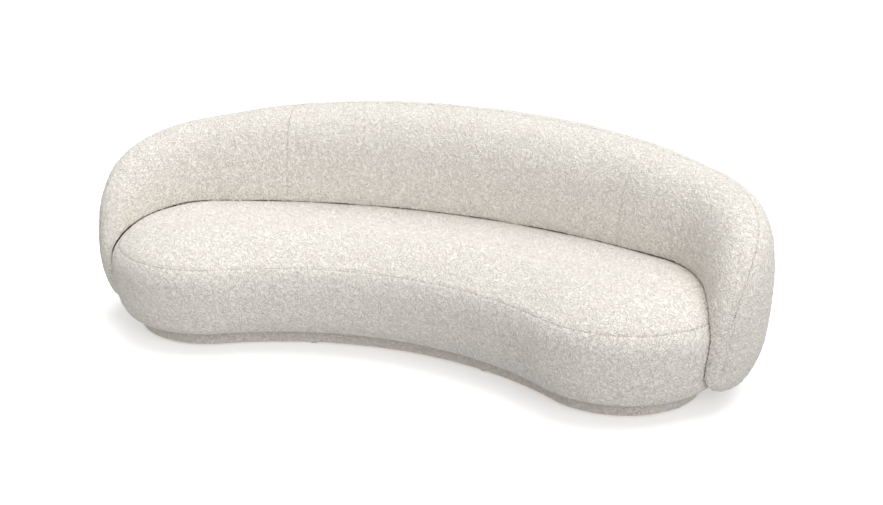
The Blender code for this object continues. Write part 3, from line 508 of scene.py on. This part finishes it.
@dataclass
class Seat(Upholstery):
    """The bean-shaped seat cushion on its deck."""

    plan: Plan = field(default_factory=Plan)
    form: SeatForm = field(default_factory=SeatForm)
    lining_rise: float = 3.6 * MM
    lip: float = 0.030
    side_ease: float = 1.15
    band_rings: int = 3
    top_rings: int = 10

    def rings(self) -> tuple[Rings, int]:
        """The rings (out, height) from the underside to the crown, and which one is the seam."""
        form, step = self.form, self.cage_step
        lip = form.foot - self.lip
        rings = [(lip, form.underside + self.lining_rise), (lip, form.underside),
                 (lip + self.lip / 2, form.underside)]
        rings += form.lower_rings(round(self.side_ease * (form.bulge_height - form.underside) / step))
        seam = form.seam_turn
        rings += form.upper_rings(0.0, seam, self.band_rings)[1:]
        sewn = len(rings) - 1
        rings += form.upper_rings(seam, math.pi / 2, self.top_rings)[1:]
        return rings, sewn

    def cage(self) -> Cage:
        """See Upholstery."""
        places = self.plan.places(self.cage_step, self.form.bulge)
        rings, sewn = self.rings()
        count = len(places)
        blocks = [self.plan.world(places, out, height) for out, height in rings]
        held = [np.full(count, ring <= 3 or ring == sewn) for ring in range(len(rings))]
        faces = []
        for ring in range(len(rings) - 1):
            for step in range(count):
                after = (step + 1) % count
                low, high = ring * count, (ring + 1) * count
                faces.append((low + step, low + after, high + after, high + step))
        size = len(rings) * count
        for ring, pinned in ((0, True), (len(rings) - 1, False)):
            rim = blocks[ring]
            ways = max(4, round(2 * self.plan.end_radius / self.cage_step))
            half, quarter = count // 2, count // 4
            lattice: dict[tuple[int, int], int] = {}
            for rung in range(-quarter, quarter + 1):
                rear, front = rung % count, (half - rung) % count
                for way in range(ways + 1):
                    if way in (0, ways) or rear == front:
                        lattice[rung, way] = ring * count + (rear if way < ways else front)
                        continue
                    lattice[rung, way] = size
                    share = way / ways
                    blocks.append((rim[rear] * (1 - share) + rim[front] * share)[None])
                    held.append(np.array([pinned]))
                    size += 1
            for rung in range(-quarter, quarter):
                for way in range(ways):
                    corners = (lattice[rung, way], lattice[rung + 1, way],
                               lattice[rung + 1, way + 1], lattice[rung, way + 1])
                    face = tuple(dict.fromkeys(corners))
                    if len(face) > 2:
                        faces.append(face)
        return np.concatenate(blocks), faces, np.concatenate(held)

    def seam_lines(self) -> np.ndarray:
        """See Upholstery."""
        fine = np.arange(-self.plan.half_length, self.plan.half_length, SEAM_SPACING)
        out = float(self.form.side(np.array(self.form.seam_height)))
        return self.plan.world(fine, out, self.form.seam_height)


@dataclass
class Back(Upholstery):
    """The thick back that wraps round behind the seat to a nose at each end."""

    plan: Plan = field(default_factory=Plan)
    form: BackForm = field(default_factory=BackForm)
    seat: SeatForm = field(default_factory=SeatForm)
    columns: int = 98
    rear_columns: int = 38
    face_columns: int = 26
    lip: float = 4 * MM
    pole: float = 0.9995
    nose_rows: int = 36
    lowest_heel: float = -1.45
    crease_reach: float = 0.6
    ridge_points: int = 1200

    @property
    def length(self) -> float:
        """The back's half length along the plan."""
        return self.plan.rear_length + self.plan.end_radius * self.form.wrap

    def shares(self) -> np.ndarray:
        """Shares of the half length, closing up towards the tips."""
        straight = self.plan.rear_length / self.length
        count = round(self.plan.rear_length / self.cage_step)
        half = list(np.linspace(0, straight, count, endpoint=False))
        turns = np.linspace(0, math.pi / 2, self.nose_rows)
        half += list(straight + (self.pole - straight) * np.sin(turns))
        right = np.array(half)
        shares = np.concatenate([-right[:0:-1], right])
        for seam in self.form.upright_seams + (-self.form.cap_seam, self.form.cap_seam):
            shares[np.abs(shares - seam).argmin()] = seam
        return shares

    def row(self, share: float) -> tuple[np.ndarray, np.ndarray]:
        """One row of the cage and the ridge seam's point on it.

        Args:
            share: signed share of the half length.

        Returns:
            World points round the section, and the point where the ridge seam crosses it.
        """
        turn, along, out, height = self.form.section(share, self.seat, self.length)
        limits = self.form.limits(abs(share), self.seat)
        half_height, half_depth, centre_height, centre_out, _, flat = limits
        run = np.concatenate([[0], np.cumsum(np.hypot(np.diff(out), np.diff(height)))])
        ridge = self.form.ridge[0] + (self.form.ridge[1] - self.form.ridge[0]) * share ** 2
        ridge_turn = self.form.turn_at((ridge - centre_out) / half_depth)
        drop = min((centre_height - flat) / half_height, 1.0)
        heel_turn = max(-math.asin(drop ** (self.form.power / 2)), self.lowest_heel)
        crease = (self.seat.height + self.form.crease - centre_height) / half_height
        crease = min(max(crease, -self.crease_reach), self.crease_reach)
        crease_turn = math.pi - math.asin(math.copysign(abs(crease) ** (self.form.power / 2), crease))
        heel, at_ridge, at_crease, round_again = np.interp(
            [heel_turn, ridge_turn, crease_turn, heel_turn + 2 * math.pi], turn, run)
        lip = min(self.lip, (at_crease - at_ridge) / self.face_columns)
        hidden = self.columns - self.rear_columns - self.face_columns
        stops = np.concatenate([
            np.linspace(heel, at_ridge, self.rear_columns, endpoint=False),
            np.linspace(at_ridge, at_crease - lip, self.face_columns - 1),
            [at_crease],
            np.linspace(at_crease + lip, round_again, hidden, endpoint=False)])
        points = self.plan.world(*(np.interp(stops, run, line) for line in (along, out, height)))
        return points, points[self.rear_columns]

    def cage(self) -> Cage:
        """See Upholstery."""
        shares = self.shares()
        rows = [self.row(share)[0] for share in shares]
        count = self.columns
        sewn = np.zeros((len(rows), count), bool)
        sewn[np.abs(shares) < self.form.cap_seam, self.rear_columns] = True
        for seam in self.form.upright_seams:
            sewn[np.isclose(shares, seam)] = True
        sewn[:, self.rear_columns + self.face_columns:] = True
        sewn[:, 0] = True
        faces = []
        for row in range(len(rows) - 1):
            for column in range(count):
                after = (column + 1) % count
                near, far = row * count, (row + 1) * count
                faces.append((near + column, near + after, far + after, far + column))
        points = np.concatenate(rows)
        tips = []
        for end, start in ((0, 0), (1, (len(rows) - 1) * count)):
            tips.append(points[start:start + count].mean(0))
            hub = len(points) + end
            faces += [(start + column, start + (column + 1) % count, hub) for column in range(count)]
        held = np.concatenate([sewn.ravel(), [False, False]])
        return np.concatenate([points, tips]), faces, held

    def seam_lines(self) -> np.ndarray:
        """See Upholstery."""
        fine = np.linspace(-self.form.cap_seam, self.form.cap_seam, self.ridge_points)
        lines = [np.array([self.row(share)[1] for share in fine])]
        for share in self.form.upright_seams:
            _, along, out, height = self.form.section(share, self.seat, self.length)
            once = slice(len(out) // 3, None)
            lines.append(self.plan.world(along[once], out[once], height[once]))
        for share in (-self.form.cap_seam, self.form.cap_seam):
            turn, along, out, height = self.form.section(share, self.seat, self.length)
            ridge = self.row(share)[1][2]
            below = (np.abs(turn) < math.pi / 2) & (height < ridge)
            lines.append(self.plan.world(along[below], out[below], height[below]))
        return np.concatenate(lines)


@dataclass
class PlinthBand(Upholstery):
    """The fabric band round the recessed plinth."""

    plan: Plan = field(default_factory=Plan)
    thickness: float = 3 * MM
    roll: float = 1.2 * MM
    face_rings: int = 6

    def cage(self) -> Cage:
        """See Upholstery."""
        low, high = (corner.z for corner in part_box("plinth_cover"))
        places = self.plan.places(self.cage_step, SeatForm().bulge)
        inner = -self.thickness
        heights = np.linspace(low + self.roll, high - self.roll, self.face_rings)
        outside = [(0.0, height) for height in heights]
        rings = [(inner, low), (-self.roll, low)] + outside + [(-self.roll, high), (inner, high)]
        count, rows = len(places), len(rings)
        points = np.concatenate([self.plan.world(places, out, height) for out, height in rings])
        faces = []
        for ring in range(rows):
            low_row, high_row = ring * count, ((ring + 1) % rows) * count
            for step in range(count):
                after = (step + 1) % count
                faces.append((low_row + step, low_row + after, high_row + after, high_row + step))
        return points, faces, np.ones(len(points), bool)

    def seam_lines(self) -> np.ndarray:
        """The band's one joint, at the middle of the rear."""
        low, high = (corner.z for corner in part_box("plinth_cover"))
        return self.plan.world(0.0, 0.0, np.arange(low, high, SEAM_SPACING))


# ---------------------------------------------------------------- finishes

class Graph:
    """A node tree that is being written, with short ways to add and join its nodes."""

    def __init__(self, tree: bpy.types.NodeTree) -> None:
        """Start on a tree."""
        self.tree = tree
        self.row = 0

    def add(self, kind: str, settings: dict[str, object] | None = None,
            **inputs: object) -> bpy.types.Node:
        """Add a node.

        Args:
            kind: the node's type, without its ShaderNode prefix.
            settings: the node's own properties.
            inputs: its sockets by name, with _ for a space; a socket is joined, a value is set.

        Returns:
            The new node.
        """
        node = self.tree.nodes.new("ShaderNode" + kind)
        node.location = (220 * (self.row % 8), -240 * (self.row // 8))
        self.row += 1
        for name, value in (settings or {}).items():
            setattr(node, name, value)
        for name, value in inputs.items():
            label = int(name[1:]) if name[1:].isdigit() else name.replace("_", " ")
            self.give(node.inputs[label], value)
        return node

    def give(self, socket: bpy.types.NodeSocket, value: object) -> None:
        """Join a socket to another, or set its value."""
        if isinstance(value, bpy.types.NodeSocket):
            self.tree.links.new(value, socket)
        elif isinstance(value, tuple) and len(value) == 3 and socket.type == "RGBA":
            socket.default_value = (*value, 1.0)
        else:
            socket.default_value = value

    def math(self, operation: str, first: object, second: object = 0.0,
             clamp: bool = False) -> object:
        """A Math node's result."""
        node = self.add("Math", {"operation": operation, "use_clamp": clamp}, _0=first, _1=second)
        return node.outputs[0]

    def spread(self, value: object, low: float, high: float, to_low: float = 0.0,
               to_high: float = 1.0) -> object:
        """A value's range moved smoothly to another one."""
        node = self.add("MapRange", {"interpolation_type": "SMOOTHSTEP"}, Value=value, From_Min=low,
                        From_Max=high, To_Min=to_low, To_Max=to_high)
        return node.outputs["Result"]

    def blend(self, factor: object, first: object, second: object) -> object:
        """A mix of two colours."""
        node = self.add("Mix", {"data_type": "RGBA"})
        self.give(node.inputs[0], factor)
        self.give(node.inputs[6], first)
        self.give(node.inputs[7], second)
        return node.outputs[2]

    def noise(self, vector: object, scale: object, detail: float = 2.0,
              roughness: float = 0.5) -> object:
        """A noise texture's value."""
        node = self.add("TexNoise", None, Vector=vector, Scale=scale, Detail=detail, Roughness=roughness)
        return node.outputs[0]


def new_group(name: str, inputs: dict[str, tuple[str, object]],
              outputs: dict[str, str]) -> tuple[bpy.types.NodeTree, Graph, object, object]:
    """A shader node group with its sockets.

    Args:
        name: the group's name.
        inputs: socket name to its kind and default.
        outputs: socket name to its kind.

    Returns:
        The group, its graph, its inputs' and its outputs' nodes.
    """
    group = bpy.data.node_groups.new(name, "ShaderNodeTree")
    for label, (kind, value) in inputs.items():
        socket = group.interface.new_socket(label, in_out="INPUT", socket_type="NodeSocket" + kind)
        if value is not None:
            socket.default_value = value
    for label, kind in outputs.items():
        group.interface.new_socket(label, in_out="OUTPUT", socket_type="NodeSocket" + kind)
    graph = Graph(group)
    return group, graph, group.nodes.new("NodeGroupInput"), group.nodes.new("NodeGroupOutput")


def looped_yarn_group() -> bpy.types.NodeTree:
    """Curls of looped yarn: a height, a mask of the hollows between curls and the tufts' noise, which the
    fabric darkens as painted shade.
    """
    group, graph, given, made = new_group(
        "looped_yarn",
        {"Vector": ("Vector", None), "Curl Size": ("Float", 0.010), "Tangle": ("Float", 1.0)},
        {"Height": "Float", "Hollow": "Float", "Shade": "Float"})
    place, size = given.outputs["Vector"], given.outputs["Curl Size"]
    scale = graph.math("DIVIDE", 1.0, size)
    warp_scale = graph.math("MULTIPLY", scale, 0.8)
    warp = graph.add("TexNoise", None, Vector=place, Scale=warp_scale, Detail=1.0)
    centred = graph.add("VectorMath", {"operation": "SUBTRACT"}, _0=warp.outputs["Color"],
                        _1=(0.5, 0.5, 0.5))
    reach = graph.math("MULTIPLY", graph.math("MULTIPLY", size, 1.7), given.outputs["Tangle"])
    pushed = graph.add("VectorMath", {"operation": "SCALE"}, _0=centred.outputs[0], Scale=reach)
    tangled = graph.add("VectorMath", {"operation": "ADD"}, _0=place, _1=pushed.outputs[0]).outputs[0]
    curls = []
    for number, (finer, width) in enumerate(((0.80, 0.13), (1.10, 0.11))):
        moved = graph.add("VectorMath", {"operation": "ADD"}, _0=tangled, _1=(number * 3.1, 1.7, 0.4))
        cloud = graph.noise(moved.outputs[0], graph.math("MULTIPLY", scale, finer), 0.0)
        ridge = graph.math("ABSOLUTE", graph.math("SUBTRACT", cloud, 0.5))
        curls.append(graph.spread(ridge, width, 0.0))
    yarn = graph.math("MAXIMUM", *curls)
    tufts = graph.noise(place, graph.math("MULTIPLY", scale, 0.45), 1.0)
    strands = graph.noise(tangled, graph.math("MULTIPLY", scale, 4.0), 2.0, 0.6)
    height = graph.math("MULTIPLY", yarn, 0.62)
    for part, share in ((strands, 0.30), (tufts, 0.40)):
        height = graph.math("ADD", height, graph.math("MULTIPLY", part, share))
    graph.give(made.inputs["Height"], height)
    graph.give(made.inputs["Hollow"], graph.spread(height, 0.75, 0.35))
    graph.give(made.inputs["Shade"], tufts)
    return group


def mottle_group() -> bpy.types.NodeTree:
    """Soft blotches in a colour, from wear, dye or grain, round a middle of 0.5."""
    group, graph, given, made = new_group(
        "mottle", {"Vector": ("Vector", None), "Size": ("Float", 0.2)}, {"Value": "Float"})
    scale = graph.math("DIVIDE", 1.0, given.outputs["Size"])
    graph.give(made.inputs["Value"], graph.noise(given.outputs["Vector"], scale, 3.0, 0.55))
    return group


@dataclass(frozen=True)
class Finish:
    """A finish that several pieces share."""

    name: str
    colour: Colour
    shade: Colour
    roughness: float

    def begin(self) -> tuple[bpy.types.Material, Graph, bpy.types.Node, object]:
        """A material with its graph, its shader and Object coordinates."""
        material = bpy.data.materials.new(self.name)
        material.use_nodes = True
        graph = Graph(material.node_tree)
        shader = material.node_tree.nodes["Principled BSDF"]
        shader.inputs["Roughness"].default_value = self.roughness
        return material, graph, shader, graph.add("TexCoord").outputs["Object"]

    def shared(self, graph: Graph, group: str, **inputs: object) -> bpy.types.Node:
        """Place a shared effect's group in the material."""
        return graph.add("Group", {"node_tree": bpy.data.node_groups[group]}, **inputs)


@dataclass(frozen=True)
class LoopedFabric(Finish):
    """Cream looped yarn with sewn seams, with painted shade in its hollows, on its sunk tufts and along its
    seams.
    """

    curl: float = 10.5 * MM
    relief: float = 3.2 * MM
    stitch: float = 1.4 * MM
    groove: float = 3 * MM
    hollow_shade_depth: float = 0.18
    tuft_shade_depth: float = 0.08
    seam_depth: float = 0.55
    sheen: float = 0.25

    def make(self) -> bpy.types.Material:
        """The fabric's material."""
        material, graph, shader, place = self.begin()
        yarn = self.shared(graph, "looped_yarn", Vector=place, Curl_Size=self.curl, Tangle=1.0)
        mottle = self.shared(graph, "mottle", Vector=place, Size=0.35)
        # Painted shade: the colour darkens towards the shade colour in the hollows between curls and where
        # the tufts of the relief sink.
        curl_shade = graph.spread(yarn.outputs["Shade"], 0.7, 0.3, 0.0, self.tuft_shade_depth)
        hollow = graph.math("MULTIPLY", yarn.outputs["Hollow"], self.hollow_shade_depth)
        painted_shade = graph.math("ADD", hollow, curl_shade, clamp=True)
        body = graph.blend(painted_shade, self.colour, self.shade)
        warm = graph.spread(mottle.outputs["Value"], 0.35, 0.65, 0.0, 0.25)
        body = graph.blend(warm, body, tuple(0.96 * value for value in self.colour))
        seam = graph.add("Attribute", {"attribute_name": "seam_reach"}).outputs["Fac"]
        # Painted shade along the seams: a thin line on each seam darkens towards the shade colour.
        line = graph.spread(seam, 2.2 * self.stitch, 0.5 * self.stitch)
        body = graph.blend(graph.math("MULTIPLY", line, self.seam_depth), body, self.shade)
        graph.give(shader.inputs["Base Color"], body)
        groove = graph.spread(seam, 0.0, 3 * self.stitch)
        sewn = graph.add("Bump", None, Strength=0.8, Distance=self.groove, Height=groove)
        relief = graph.add("Bump", None, Strength=1.0, Distance=self.relief,
                           Height=yarn.outputs["Height"], Normal=sewn.outputs[0])
        graph.give(shader.inputs["Normal"], relief.outputs[0])
        shader.inputs["Sheen Weight"].default_value = self.sheen
        shader.inputs["Sheen Roughness"].default_value = 0.45
        shader.inputs["Specular IOR Level"].default_value = 0.15
        return material


@dataclass(frozen=True)
class Timber(Finish):
    """Planed rails, or bent and cut plywood with its plies."""

    grain: float = 0.012
    ply: float = 0.0

    def make(self) -> bpy.types.Material:
        """The timber's material."""
        material, graph, shader, place = self.begin()
        drawn = graph.add("Mapping", None, Vector=place, Scale=(0.12, 1.0, 1.0))
        rings = graph.noise(drawn.outputs[0], 1 / self.grain, 5.0, 0.6)
        fibres = graph.noise(drawn.outputs[0], 9 / self.grain, 2.0, 0.5)
        mix = graph.math("ADD", graph.math("MULTIPLY", rings, 0.75), graph.math("MULTIPLY", fibres, 0.25))
        body = graph.blend(graph.spread(mix, 0.38, 0.62), self.colour, self.shade)
        if self.ply > 0:
            height = graph.add("SeparateXYZ", None, Vector=place).outputs["Z"]
            layer = graph.math("SINE", graph.math("MULTIPLY", height, 2 * math.pi / self.ply))
            body = graph.blend(graph.spread(layer, 0.2, 0.9, 0.0, 0.35), body, self.shade)
        graph.give(shader.inputs["Base Color"], body)
        bump = graph.add("Bump", None, Strength=0.3, Distance=0.4 * MM, Height=fibres)
        graph.give(shader.inputs["Normal"], bump.outputs[0])
        rough = graph.spread(mix, 0.3, 0.7, self.roughness - 0.1, self.roughness + 0.1)
        graph.give(shader.inputs["Roughness"], rough)
        return material


@dataclass(frozen=True)
class Cellular(Finish):
    """Open-celled upholstery foam."""

    cell: float = 1.5 * MM

    def make(self) -> bpy.types.Material:
        """The foam's material."""
        material, graph, shader, place = self.begin()
        cells = graph.add("TexVoronoi", None, Vector=place, Scale=1 / self.cell).outputs["Distance"]
        mottle = self.shared(graph, "mottle", Vector=place, Size=0.15)
        body = graph.blend(graph.spread(cells, 0.2, 0.7), self.shade, self.colour)
        yellowed = graph.spread(mottle.outputs["Value"], 0.4, 0.7, 0.0, 0.4)
        body = graph.blend(yellowed, body, self.shade)
        graph.give(shader.inputs["Base Color"], body)
        bump = graph.add("Bump", None, Strength=0.6, Distance=1 * MM, Height=cells)
        graph.give(shader.inputs["Normal"], bump.outputs[0])
        return material


@dataclass(frozen=True)
class Cloth(Finish):
    """Thin cloth with a grid: dots pressed into a spun lining, or the ribs of a webbing."""

    pitch: float = 2.5 * MM
    ribbed: bool = False

    def make(self) -> bpy.types.Material:
        """The cloth's material."""
        material, graph, shader, place = self.begin()
        axes = graph.add("SeparateXYZ", None, Vector=place)
        turn = 2 * math.pi / self.pitch
        across = graph.math("SINE", graph.math("MULTIPLY", axes.outputs["X"], turn))
        other = graph.math("SINE", graph.math("MULTIPLY", axes.outputs["Y"], turn))
        pattern = across if self.ribbed else graph.math("MULTIPLY", across, other)
        fibres = graph.noise(place, 1 / self.pitch, 4.0, 0.7)
        height = graph.math("ADD", graph.math("MULTIPLY", pattern, 0.35), fibres)
        body = graph.blend(graph.spread(height, 0.2, 0.9), self.shade, self.colour)
        graph.give(shader.inputs["Base Color"], body)
        bump = graph.add("Bump", None, Strength=0.5, Distance=0.4 * MM, Height=height)
        graph.give(shader.inputs["Normal"], bump.outputs[0])
        return material


@dataclass(frozen=True)
class Metal(Finish):
    """Zinc-plated steel, dulled in patches."""

    def make(self) -> bpy.types.Material:
        """The metal's material."""
        material, graph, shader, place = self.begin()
        mottle = self.shared(graph, "mottle", Vector=place, Size=0.02)
        body = graph.blend(mottle.outputs["Value"], self.colour, self.shade)
        graph.give(shader.inputs["Base Color"], body)
        rough = graph.spread(mottle.outputs["Value"], 0.3, 0.7, self.roughness - 0.08, self.roughness + 0.12)
        graph.give(shader.inputs["Roughness"], rough)
        shader.inputs["Metallic"].default_value = 1.0
        return material


@dataclass(frozen=True)
class Moulded(Finish):
    """Moulded plastic, scuffed where it slides."""

    def make(self) -> bpy.types.Material:
        """The plastic's material."""
        material, graph, shader, place = self.begin()
        mottle = self.shared(graph, "mottle", Vector=place, Size=0.012)
        scuffs = graph.noise(place, 700.0, 4.0, 0.7)
        body = graph.blend(mottle.outputs["Value"], self.colour, self.shade)
        graph.give(shader.inputs["Base Color"], body)
        rough = graph.spread(scuffs, 0.3, 0.7, self.roughness - 0.1, self.roughness + 0.2)
        graph.give(shader.inputs["Roughness"], rough)
        bump = graph.add("Bump", None, Strength=0.2, Distance=0.2 * MM, Height=scuffs)
        graph.give(shader.inputs["Normal"], bump.outputs[0])
        return material


class Finishes(Enum):
    """The finishes of the sofa's slots."""

    # The boucle's second colour is painted shade for its hollows, tufts and seams.
    boucle = LoopedFabric("boucle", (0.89, 0.85, 0.785), (0.68, 0.61, 0.51), 0.92)
    # plinth_boucle is the same boucle painted darker: painted shade for the recessed plinth under the seat's
    # overhang.
    plinth_boucle = LoopedFabric("plinth_boucle", (0.66, 0.625, 0.57), (0.46, 0.42, 0.36), 0.92,
                                 relief=3 * MM)
    foam = Cellular("foam", (0.82, 0.76, 0.50), (0.66, 0.58, 0.33), 0.9)
    plywood = Timber("plywood", (0.66, 0.49, 0.30), (0.45, 0.30, 0.16), 0.6, ply=1.5 * MM)
    solid_wood = Timber("solid_wood", (0.60, 0.43, 0.26), (0.38, 0.24, 0.12), 0.62, grain=0.02)
    webbing = Cloth("webbing", (0.12, 0.11, 0.11), (0.03, 0.03, 0.03), 0.8, pitch=2.0 * MM, ribbed=True)
    lining = Cloth("lining", (0.035, 0.035, 0.038), (0.010, 0.010, 0.011), 0.85)
    steel = Metal("steel", (0.62, 0.62, 0.60), (0.42, 0.42, 0.42), 0.36)
    glide = Moulded("glide", (0.50, 0.47, 0.42), (0.36, 0.33, 0.29), 0.6)


@dataclass
class Frame:
    """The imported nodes: rails, boards, skins, straps, foam, ties and glides."""

    def dress(self, materials: dict[str, bpy.types.Material]) -> None:
        """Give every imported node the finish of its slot.

        Args:
            materials: the finish of each slot.
        """
        slots = {part["node"]: part["material_slot"] for part in frame["record"]["subparts"]}
        for name, node in frame["nodes"].items():
            node.data.materials.clear()
            node.data.materials.append(materials[slots[name]])
        LOG.info("%d packed nodes dressed", len(slots))


# ---------------------------------------------------------------- studio

@dataclass(frozen=True)
class Sun:
    """Wide, soft light from one side."""

    name: str
    toward: Colour
    strength: float
    spread: float

    def place(self) -> None:
        """Put the light in the scene."""
        light = bpy.data.lights.new(self.name, "SUN")
        light.energy, light.angle = self.strength, math.radians(self.spread)
        lamp = bpy.data.objects.new(self.name, light)
        bpy.context.scene.collection.objects.link(lamp)
        lamp.rotation_euler = (-Vector(self.toward)).to_track_quat("-Z", "Y").to_euler()


@dataclass
class Studio:
    """A pale floor, soft light and the camera."""

    look_at: Colour = (0.1090, -0.1580, 0.3479)
    distance: float = 4.8180
    azimuth: float = 21.83
    elevation: float = 19.856
    lens: float = 57.12
    floor_size: float = 60.0
    floor_glow: float = 0.35
    room_light: float = 0.52
    suns: tuple[Sun, ...] = (Sun("above", (0.10, 0.38, 1.0), 2.15, 55.0),
                             Sun("front", (0.9, -1.0, 0.50), 1.25, 60.0))

    def build(self) -> None:
        """Make the floor, the light and the camera."""
        self.build_floor()
        self.build_light()
        self.build_camera()

    def build_floor(self) -> None:
        """A wide pale floor that glows a little and throws no light back at the sofa."""
        deselect()
        bpy.ops.mesh.primitive_plane_add(size=self.floor_size, location=(0, 0, 0))
        floor = bpy.context.object
        floor.name = "floor"
        finish = Finish("floor", (0.93, 0.93, 0.93), (0.91, 0.91, 0.91), 0.9)
        material, graph, shader, place = finish.begin()
        pale = graph.blend(graph.noise(place, 0.8, 2.0, 0.5), finish.colour, finish.shade)
        graph.give(shader.inputs["Base Color"], pale)
        shader.inputs["Emission Color"].default_value = (1.0, 1.0, 1.0, 1.0)
        shader.inputs["Emission Strength"].default_value = self.floor_glow
        floor.data.materials.append(material)
        floor.visible_diffuse = False

    def build_light(self) -> None:
        """A white room and its two lights, one above and a little behind, one in front."""
        world = bpy.data.worlds.new("studio")
        world.use_nodes = True
        bpy.context.scene.world = world
        background = world.node_tree.nodes["Background"]
        background.inputs["Color"].default_value = (1.0, 1.0, 1.0, 1.0)
        background.inputs["Strength"].default_value = self.room_light
        for sun in self.suns:
            sun.place()
        bpy.context.scene.view_settings.view_transform = "Standard"

    def build_camera(self) -> None:
        """A camera a little above the back, to the right of the front."""
        turn, tilt = math.radians(self.azimuth), math.radians(self.elevation)
        level = math.cos(tilt)
        away = Vector((math.sin(turn) * level, -math.cos(turn) * level, math.sin(tilt)))
        camera = bpy.data.objects.new("camera", bpy.data.cameras.new("camera"))
        bpy.context.scene.collection.objects.link(camera)
        camera.location = Vector(self.look_at) + away * self.distance
        camera.rotation_euler = (-away).to_track_quat("-Z", "Y").to_euler()
        camera.data.lens = self.lens
        camera.data.sensor_width = 36.0
        bpy.context.scene.camera = camera


def main() -> None:
    """Build the sofa's looks round the frame."""
    looped_yarn_group()
    mottle_group()
    materials = {finish.name: finish.value.make() for finish in Finishes}
    Frame().dress(materials)
    seat = Seat("seat_cushion", ("seat_foam", "seat_top_cover", "seat_band_front", "seat_band_rear"),
                "boucle", 0.9)
    back = Back("wrap_back", ("back_foam", "back_front_centre", "back_front_left", "back_front_right",
                              "back_rear_centre", "back_rear_left", "back_rear_right", "back_lining"),
                "boucle", 0.95)
    # The band wears plinth_boucle, the boucle painted darker as shade under the seat.
    band = PlinthBand("plinth_band", ("plinth_cover",), "plinth_boucle", 0.3, levels=1,
                      loop_height=0.8 * MM, swell_height=0.0, seam_depth=0.4 * MM)
    bodies = (seat, back, band)
    for body in bodies:
        body.build_cage()
    seat.plump([back])
    back.plump([seat])
    for body in bodies:
        body.refine()
        body.sew(body.mark_seams())
        body.raise_yarn()
        body.finish(materials[body.slot])
    Studio().build()


if __name__ == "__main__":
    main()
